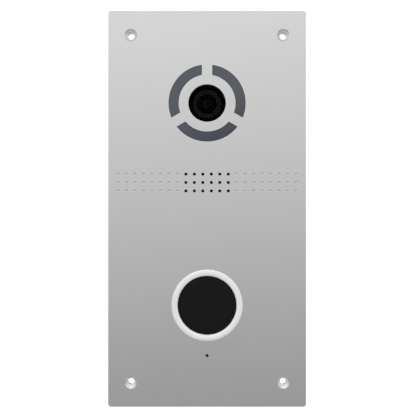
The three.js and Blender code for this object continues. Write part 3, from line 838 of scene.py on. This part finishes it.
def make_rear_shell():
    """Moulded shell with drafted sides and a groove round them. Its screw pockets run into bosses, and the
    sockets and the tamper pin have windows."""
    low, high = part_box("rear_housing")
    front, back = low.y, high.y
    wall, lip = 2 * MM, 0.25 * MM
    inside = back - wall
    rings = [(grow - SHELL["draft"] * MM, y) for grow, y in eased(back, front, 1.4, steps=6)]
    groove, groove_top = SHELL["groove"] * MM, SHELL["groove"] * MM + 0.8 * MM
    rings += [(0, groove + 1.0 * MM), (-0.1 * MM, groove_top), (-0.5 * MM, groove_top)]
    rings += [(-0.5 * MM, groove), (-0.1 * MM, groove), (0, groove - 0.2 * MM), (0, front + lip)]
    rings += [(-lip, front), (lip - wall, front), (-wall, front + lip), (-wall, inside)]
    shell = (rounded_rectangle(high.x - low.x, high.z - low.z, 5, steps=12), rings)
    window_wall = eased(back, front, 0.4, inward=1) + [(0, inside)]
    through = []
    room = 0.4 * MM
    for node in SOCKETS:
        socket_low, socket_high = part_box(node)
        size = (socket_high.x - socket_low.x + 2 * room, socket_high.z - socket_low.z + 2 * room)
        window = rounded_rectangle(*size, 0.5, centre_of(node), steps=4)
        through.append((window, window_wall))
    through.append((circle(2.15, centre_of("tamper_plunger"), 48), window_wall))
    boss_end, pocket_floor = 7.1 * MM, back - 3 * MM
    for i in range(1, 5):
        rings = [(1.6 * MM + grow, y) for grow, y in eased(back, front, 0.3, inward=1, steps=3)]
        rings += [(1.6 * MM, pocket_floor), (0, pocket_floor), (0, boss_end)]
        rings += [(2.2 * MM, boss_end), (2.2 * MM, inside)]
        through.append((circle(1.7, centre_of(f"housing_screw_{i}"), 48), rings))
    size = (LABEL_RECESS["width"] * MM, LABEL_RECESS["height"] * MM)
    recess = rounded_rectangle(*size, 1.5, LABEL_CENTRE)
    blind = [(recess, [(0.15 * MM, back), (0, back - 0.15 * MM), (0, back - 0.3 * MM)], None)]
    mesh = bmesh.new()
    pierced(mesh, shell, through, blind)
    finished("rear_shell", mesh, HOUSING, "panel", ["rear_housing"])


def make_shell_relief():
    """Moulded relief on the shell: frames round the windows and the recess, wiring ticks, and ribs on its
    back and down its sides."""
    side_x, back, end_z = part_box("rear_housing")[1]
    root = back - 0.15 * MM
    rib_size = (1.5 * MM, 0.55 * MM)
    mesh = bmesh.new()

    def frame_line(width, height, corner, line, rise, at):
        crest = back + rise * MM
        outer = rounded_rectangle(width, height, corner, at, steps=4)
        less, inner_corner = 2 * line * MM, max(corner - line, 0.3)
        inner = rounded_rectangle(width - less, height - less, inner_corner, at, steps=4)
        soft = 0.5 * line
        pierced(
            mesh,
            (outer, eased(crest, root, soft, steps=3) + [(0, root)]),
            [(inner, eased(crest, root, 0.4 * soft, inward=1, steps=3) + [(0, root)])],
        )

    def bar(width_mm, height_mm, rise, x, z):
        corner = 0.45 * min(width_mm, height_mm)
        outline = rounded_rectangle(width_mm * MM, height_mm * MM, corner, (x * MM, z * MM), steps=4)
        pierced(mesh, (outline, eased(back + rise * MM, root, 0.25, steps=3) + [(0, root)]), [])

    for node in SOCKETS:
        low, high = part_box(node)
        width, height = high.x - low.x + 3.6 * MM, high.z - low.z + 3.6 * MM
        frame_line(width, height, 1.4, 1.2, 0.45, centre_of(node))
    width, height = (LABEL_RECESS["width"] + 2.4) * MM, (LABEL_RECESS["height"] + 2.4) * MM
    frame_line(width, height, 2.2, 0.9, 0.35, LABEL_CENTRE)
    header = centre_of("terminal_header")
    for i in range(TERMINAL["ways"]):
        step = i - (TERMINAL["ways"] - 1) / 2
        bar(0.7, 2.2, 0.25, header[0] / MM + step * TERMINAL["pitch"], header[1] / MM + 9)
    for i in range(5):
        bar(50, 1.4, 0.7, 0, 46 + 4 * i)
    near, far, pitch = (SHELL["groove"] + 2.5) * MM, back - 3.5 * MM, SHELL["rib_pitch"] * MM
    draft = SHELL["draft"] * MM
    for way in (-1, 1):
        for i in range(-5, 6):
            start, end = (way * side_x, near, i * pitch), (way * (side_x - draft), far, i * pitch)
            rib(mesh, start, end, (way, 0, 0), *rib_size)
        for i in range(-2, 3):
            start, end = (i * pitch, near, way * end_z), (i * pitch, far, way * (end_z - draft))
            rib(mesh, start, end, (0, 0, way), *rib_size)
    finished("shell_relief", mesh, HOUSING, "panel")


def make_label():
    """A plain sticker in the shell's recess, with ruled boxes and no words."""
    back = depth_of("rear_housing")[1]
    floor, face, ink = back - 0.29 * MM, back - 0.15 * MM, back - 0.13 * MM
    width, height = (LABEL_RECESS["width"] - 2) * MM, (LABEL_RECESS["height"] - 2) * MM
    mesh = bmesh.new()
    pierced(mesh, (rounded_rectangle(width, height, 1.0, LABEL_CENTRE), [(0, face), (0, floor)]), [])
    finished("rear_label", mesh, LABEL, "panel")
    mesh = bmesh.new()
    rule = 0.25

    def box_rule(width, height, x, z):
        at = (LABEL_CENTRE[0] + x * MM, LABEL_CENTRE[1] + z * MM)
        ring = rounded_rectangle(width * MM, height * MM, 0.4, at, steps=4)
        pierced(mesh, (ring, [(0, ink), (0, face)]), [(ring, [(-rule * MM, ink), (-rule * MM, face)])])

    box_rule(47, 25, 0, 0)
    for i in range(10):
        box_rule(3.0, 3.0, (4.5 - i) * 4.2, -8.5)
    for row in range(3):
        box_rule(26, 3.4, 8.5, 8.6 - 4.6 * row)
    box_rule(13, 12.6, -14.4, 4)
    finished("label_rules", mesh, FINE_BLACK, "panel")


def cross_recess(centre, reach, half_width):
    a, w = reach, half_width
    corners = [(a, -w), (a, w), (w, w), (w, a), (-w, a), (-w, w)]
    corners += [(-a, w), (-a, -w), (-w, -w), (-w, -a), (w, -a), (w, -w)]
    return polygon(corners, centre)


def make_screw(node, name, head_radius, head_height, shank_radius):
    """A pan-head screw with a tapered cross recess, its head to the rear."""
    tip, top = depth_of(node)
    seat = top - head_height * MM
    at = centre_of(node)
    grow = (head_radius - shank_radius) * MM
    rings = [(grow * 0.45, top), (grow * 0.72, top - 0.10 * MM), (grow * 0.9, top - 0.35 * MM)]
    rings += [(grow, top - 0.8 * MM), (grow, seat + 0.1 * MM), (grow - 0.1 * MM, seat), (0, seat)]
    pitch = 0.5 * MM
    turns = int((seat - tip) * 0.45 / pitch)
    for i in range(turns):
        crest = tip + pitch * (turns - i)
        rings += [(0, crest), (-0.16 * MM, crest - pitch / 2)]
    rings += [(-0.05 * MM, tip + 0.4 * pitch), (-0.35 * MM, tip)]
    recess = cross_recess(at, head_radius * 0.52, head_radius * 0.13)
    cross = (recess, [(0, top), (-0.1 * MM, top - 0.55 * head_height * MM)], None)
    mesh = bmesh.new()
    pierced(mesh, (circle(shank_radius, at, 48), rings), [], [cross])
    finished(name, mesh, ZINC, "panel", [node], sharp=50)


def make_network_jack():
    """A shielded network jack: bright shell, black insert with a keyed port, eight gilded springs."""
    low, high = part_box("network_socket")
    at = centre_of("network_socket")
    width, height, skin = high.x - low.x, high.z - low.z, 0.3 * MM
    rings = eased(high.y, low.y, 0.12, steps=2)
    rings += [(0, low.y), (-skin, low.y), (-skin, high.y - 0.2 * MM), (0.1 * MM - skin, high.y)]
    mesh = bmesh.new()
    first, last = rings_along(mesh, rounded_rectangle(width, height, 0.6, at, steps=4), rings)
    fill(mesh, [first, last])
    finished("network_shield", mesh, TINNED, "panel", ["network_socket"])

    face = high.y - 0.35 * MM
    keyed = [(-5.9, -3.5), (-3, -3.5), (-3, -6), (3, -6), (3, -3.5), (5.9, -3.5), (5.9, 3.5), (-5.9, 3.5)]
    floor = high.y - 11 * MM
    body = rounded_rectangle(width - 2 * skin - 0.1 * MM, height - 2 * skin - 0.1 * MM, 0.3, at, steps=3)
    mesh = bmesh.new()
    port = (polygon(keyed, at), [(0.2 * MM, face), (0, face - 0.25 * MM), (0, floor)], None)
    pierced(mesh, (body, [(0, face), (0, low.y + 0.3 * MM)]), [], [port])
    finished("network_insert", mesh, FINE_BLACK, "panel")

    mesh = bmesh.new()
    pitch = 1.02 * MM
    for i in range(8):
        x = at[0] + (i - 3.5) * pitch
        path = [(face - 2.2 * MM, at[1] + 3.35 * MM), (face - 3.0 * MM, at[1] + 3.1 * MM)]
        path += [(face - 8.5 * MM, at[1] + 0.6 * MM), (face - 9.0 * MM, at[1] + 0.2 * MM)]
        path.append((floor + 0.2 * MM, at[1] + 0.1 * MM))
        for vertex in strip(mesh, path, 0.42 * MM, 0.22 * MM):
            vertex.co.x += x
    finished("network_springs", mesh, GOLD, "panel")


def make_terminal_block():
    """A shrouded ten-way header with keying grooves along one wall and square pins."""
    low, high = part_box("terminal_header")
    at = centre_of("terminal_header")
    width, height, wall = (high.x - low.x) / MM, (high.z - low.z) / MM, 1.1
    pitch, count = TERMINAL["pitch"], TERMINAL["ways"]
    half_x, half_z = width / 2 - wall, height / 2 - wall
    well = [(-half_x, -half_z), (half_x, -half_z), (half_x, half_z)]
    for i in range(count):
        x = (count - 1) / 2 * pitch - i * pitch
        well += [(x + 0.6, half_z), (x + 0.6, half_z + 0.55), (x - 0.6, half_z + 0.55), (x - 0.6, half_z)]
    well.append((-half_x, half_z))
    floor = high.y - 9.6 * MM
    outline = rounded_rectangle(high.x - low.x, high.z - low.z, 0.4, at, steps=4)
    hollow = (polygon(well, at), [(0.12 * MM, high.y), (0, high.y - 0.2 * MM), (0, floor)], None)
    mesh = bmesh.new()
    pierced(mesh, (outline, eased(high.y, low.y, 0.2, steps=3) + [(0, low.y)]), [], [hollow])
    finished("terminal_shroud", mesh, TERMINAL_GREEN, "panel", ["terminal_header"])
    mesh = bmesh.new()
    for i in range(count):
        x = at[0] + ((count - 1) / 2 - i) * pitch * MM
        pin = polygon([(-0.5, -0.5), (0.5, -0.5), (0.5, 0.5), (-0.5, 0.5)], (x, at[1]))
        tip = high.y - 1.2 * MM
        pierced(mesh, (pin, [(-0.28 * MM, tip), (0, tip - 0.6 * MM), (0, floor + 0.01 * MM)]), [])
    finished("terminal_pins", mesh, TINNED, "panel")


def make_tamper_pin():
    inner, tip = (y / MM for y in depth_of("tamper_plunger"))
    profile = [
        (0, inner), (1.2, inner, 0.2), (1.2, 22.6), (1.9, 22.6), (1.9, 26.8), (3.3, 26.8, 0.15),
        (3.3, 27.8, 0.15), (1.9, 27.8), (1.9, tip, 0.7), (0, tip),
    ]
    at = centre_of("tamper_plunger")
    turned_piece("tamper_pin", profile, WHITE, "tamper", ["tamper_plunger"], at, facets=64)


def make_earth_point():
    front, back = (y / MM for y in depth_of("earth_stud"))
    pitch = 0.5
    profile = [(0, front), (2, front), (2, 0.3)]
    turns = int((back - 0.6) / pitch)
    for i in range(turns):
        y = 0.35 + i * pitch
        profile += [(1.72, y + pitch / 2 - 0.05), (2, y + pitch - 0.05)]
    profile += [(1.72, back), (0, back)]
    at = centre_of("earth_stud")
    turned_piece("earth_bolt", profile, ZINC, "panel", ["earth_stud"], at, facets=48, sharp=50)
    front, back = depth_of("earth_nut")
    hexagon, bore = circle(3.9, at, 6), circle(2.1, at, 48)
    mesh = bmesh.new()
    rings = [(-0.45 * MM, back), (-0.1 * MM, back - 0.22 * MM), (0, back - 0.5 * MM), (0, front + 0.5 * MM)]
    rings.append((-0.45 * MM, front))
    inner = (bore, [(0.25 * MM, back), (0, back - 0.25 * MM), (0, front + 0.2 * MM), (0.2 * MM, front)])
    pierced(mesh, (hexagon, rings), [inner])
    finished("earth_hexagon", mesh, ZINC, "panel", ["earth_nut"], sharp=20)


def make_return_spring():
    low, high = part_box("button_spring")
    wire = 0.4 * MM
    mesh = bmesh.new()
    coil(mesh, BUTTON, 6 * MM, wire, low.y + wire, high.y - wire, 3.5)
    spring = finished("return_spring", mesh, ZINC, "panel", ["button_spring"])
    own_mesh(spring)


dress_cad_nodes()
make_plate()
make_arc_window()
make_camera()
make_button()
make_seals()
make_rear_shell()
make_shell_relief()
make_label()
for number in range(1, 5):
    make_screw(f"housing_screw_{number}", f"shell_screw_{number}", 2.9, 2, 1.1)
make_network_jack()
make_terminal_block()
make_tamper_pin()
make_earth_point()
make_return_spring()


# ---------------------------------------------------------------- studio


def area_light(name, place, target, width, height, power):
    data = bpy.data.lights.new(name, "AREA")
    data.shape = "RECTANGLE"
    data.size, data.size_y = width, height
    data.energy = power
    lamp = bpy.data.objects.new(name, data)
    lamp.location = place
    lamp.rotation_euler = (Vector(target) - Vector(place)).to_track_quat("-Z", "Y").to_euler()
    lamp.visible_camera = False
    bpy.context.scene.collection.objects.link(lamp)


def backdrop(name, mesh, color, glow):
    """A painted surface to look at round the panel. It takes no part in lighting it."""
    data = bpy.data.meshes.new(name)
    mesh.to_mesh(data)
    mesh.free()
    shader = surface(f"{name}_paint", color, 0.9, specular=0.2, tint=(60, 0.01, 40))
    shader.set(Emission_Color=(1, 1, 1, 1), Emission_Strength=glow)
    data.materials.append(shader.material)
    screen = bpy.data.objects.new(name, data)
    bpy.context.scene.collection.objects.link(screen)
    screen.visible_diffuse = screen.visible_glossy = screen.visible_shadow = False


def make_studio():
    """A sky that is bright overhead and dim below, one soft lamp, and a pale floor and surround."""
    world = bpy.data.worlds.new("studio")
    bpy.context.scene.world = world
    world.use_nodes = True
    nodes, links = world.node_tree.nodes, world.node_tree.links
    direction = nodes.new("ShaderNodeTexCoord").outputs["Generated"]
    height = nodes.new("ShaderNodeVectorMath")
    height.operation = "DOT_PRODUCT"
    height.inputs[1].default_value = (SKY_LEAN, 0, 1)
    share = nodes.new("ShaderNodeMapRange")
    share.inputs["From Min"].default_value = -1.0
    fade = nodes.new("ShaderNodeValToRGB")
    brightest = max(level for _, level in SKY)
    ramp_stops(fade, [((1 + up) / 2, [level / brightest] * 3) for up, level in SKY])
    links.new(direction, height.inputs[0])
    links.new(height.outputs["Value"], share.inputs["Value"])
    links.new(share.outputs["Result"], fade.inputs["Fac"])
    links.new(fade.outputs["Color"], nodes["Background"].inputs["Color"])
    nodes["Background"].inputs["Strength"].default_value = brightest

    reach, depth = 6.0, -0.32
    mesh = bmesh.new()
    corners = [(-reach, -reach, depth), (reach, -reach, depth), (reach, reach, depth), (-reach, reach, depth)]
    mesh.faces.new([mesh.verts.new(corner) for corner in corners])
    backdrop("floor", mesh, (0.93, 0.93, 0.93), glow=0.45)
    mesh = bmesh.new()
    bmesh.ops.create_uvsphere(mesh, u_segments=48, v_segments=24, radius=0.98 * reach)
    backdrop("surround", mesh, (0.9, 0.9, 0.9), glow=1.0)
    area_light("key", (-0.15, -0.45, 0.75), (0, 0, 0), 0.7, 0.4, KEY_WATTS)


def make_camera_view():
    """On the plate's axis, a short way in front, as a product photographer stands for a straight view."""
    distance, frame_height, sensor = 230 * MM, 209.35 * MM, 36.0
    data = bpy.data.cameras.new("view")
    data.sensor_width = sensor
    data.lens = sensor * distance / frame_height
    data.shift_x, data.shift_y = 0.001, 0.0031
    data.clip_start, data.clip_end = 0.01, 50
    eye = bpy.data.objects.new("view", data)
    eye.location = (0, PLATE_FRONT - distance, 0)
    eye.rotation_euler = (math.radians(90), 0, 0)
    bpy.context.scene.collection.objects.link(eye)
    bpy.context.scene.camera = eye


make_studio()
make_camera_view()
bpy.context.scene.view_settings.view_transform = "Standard"
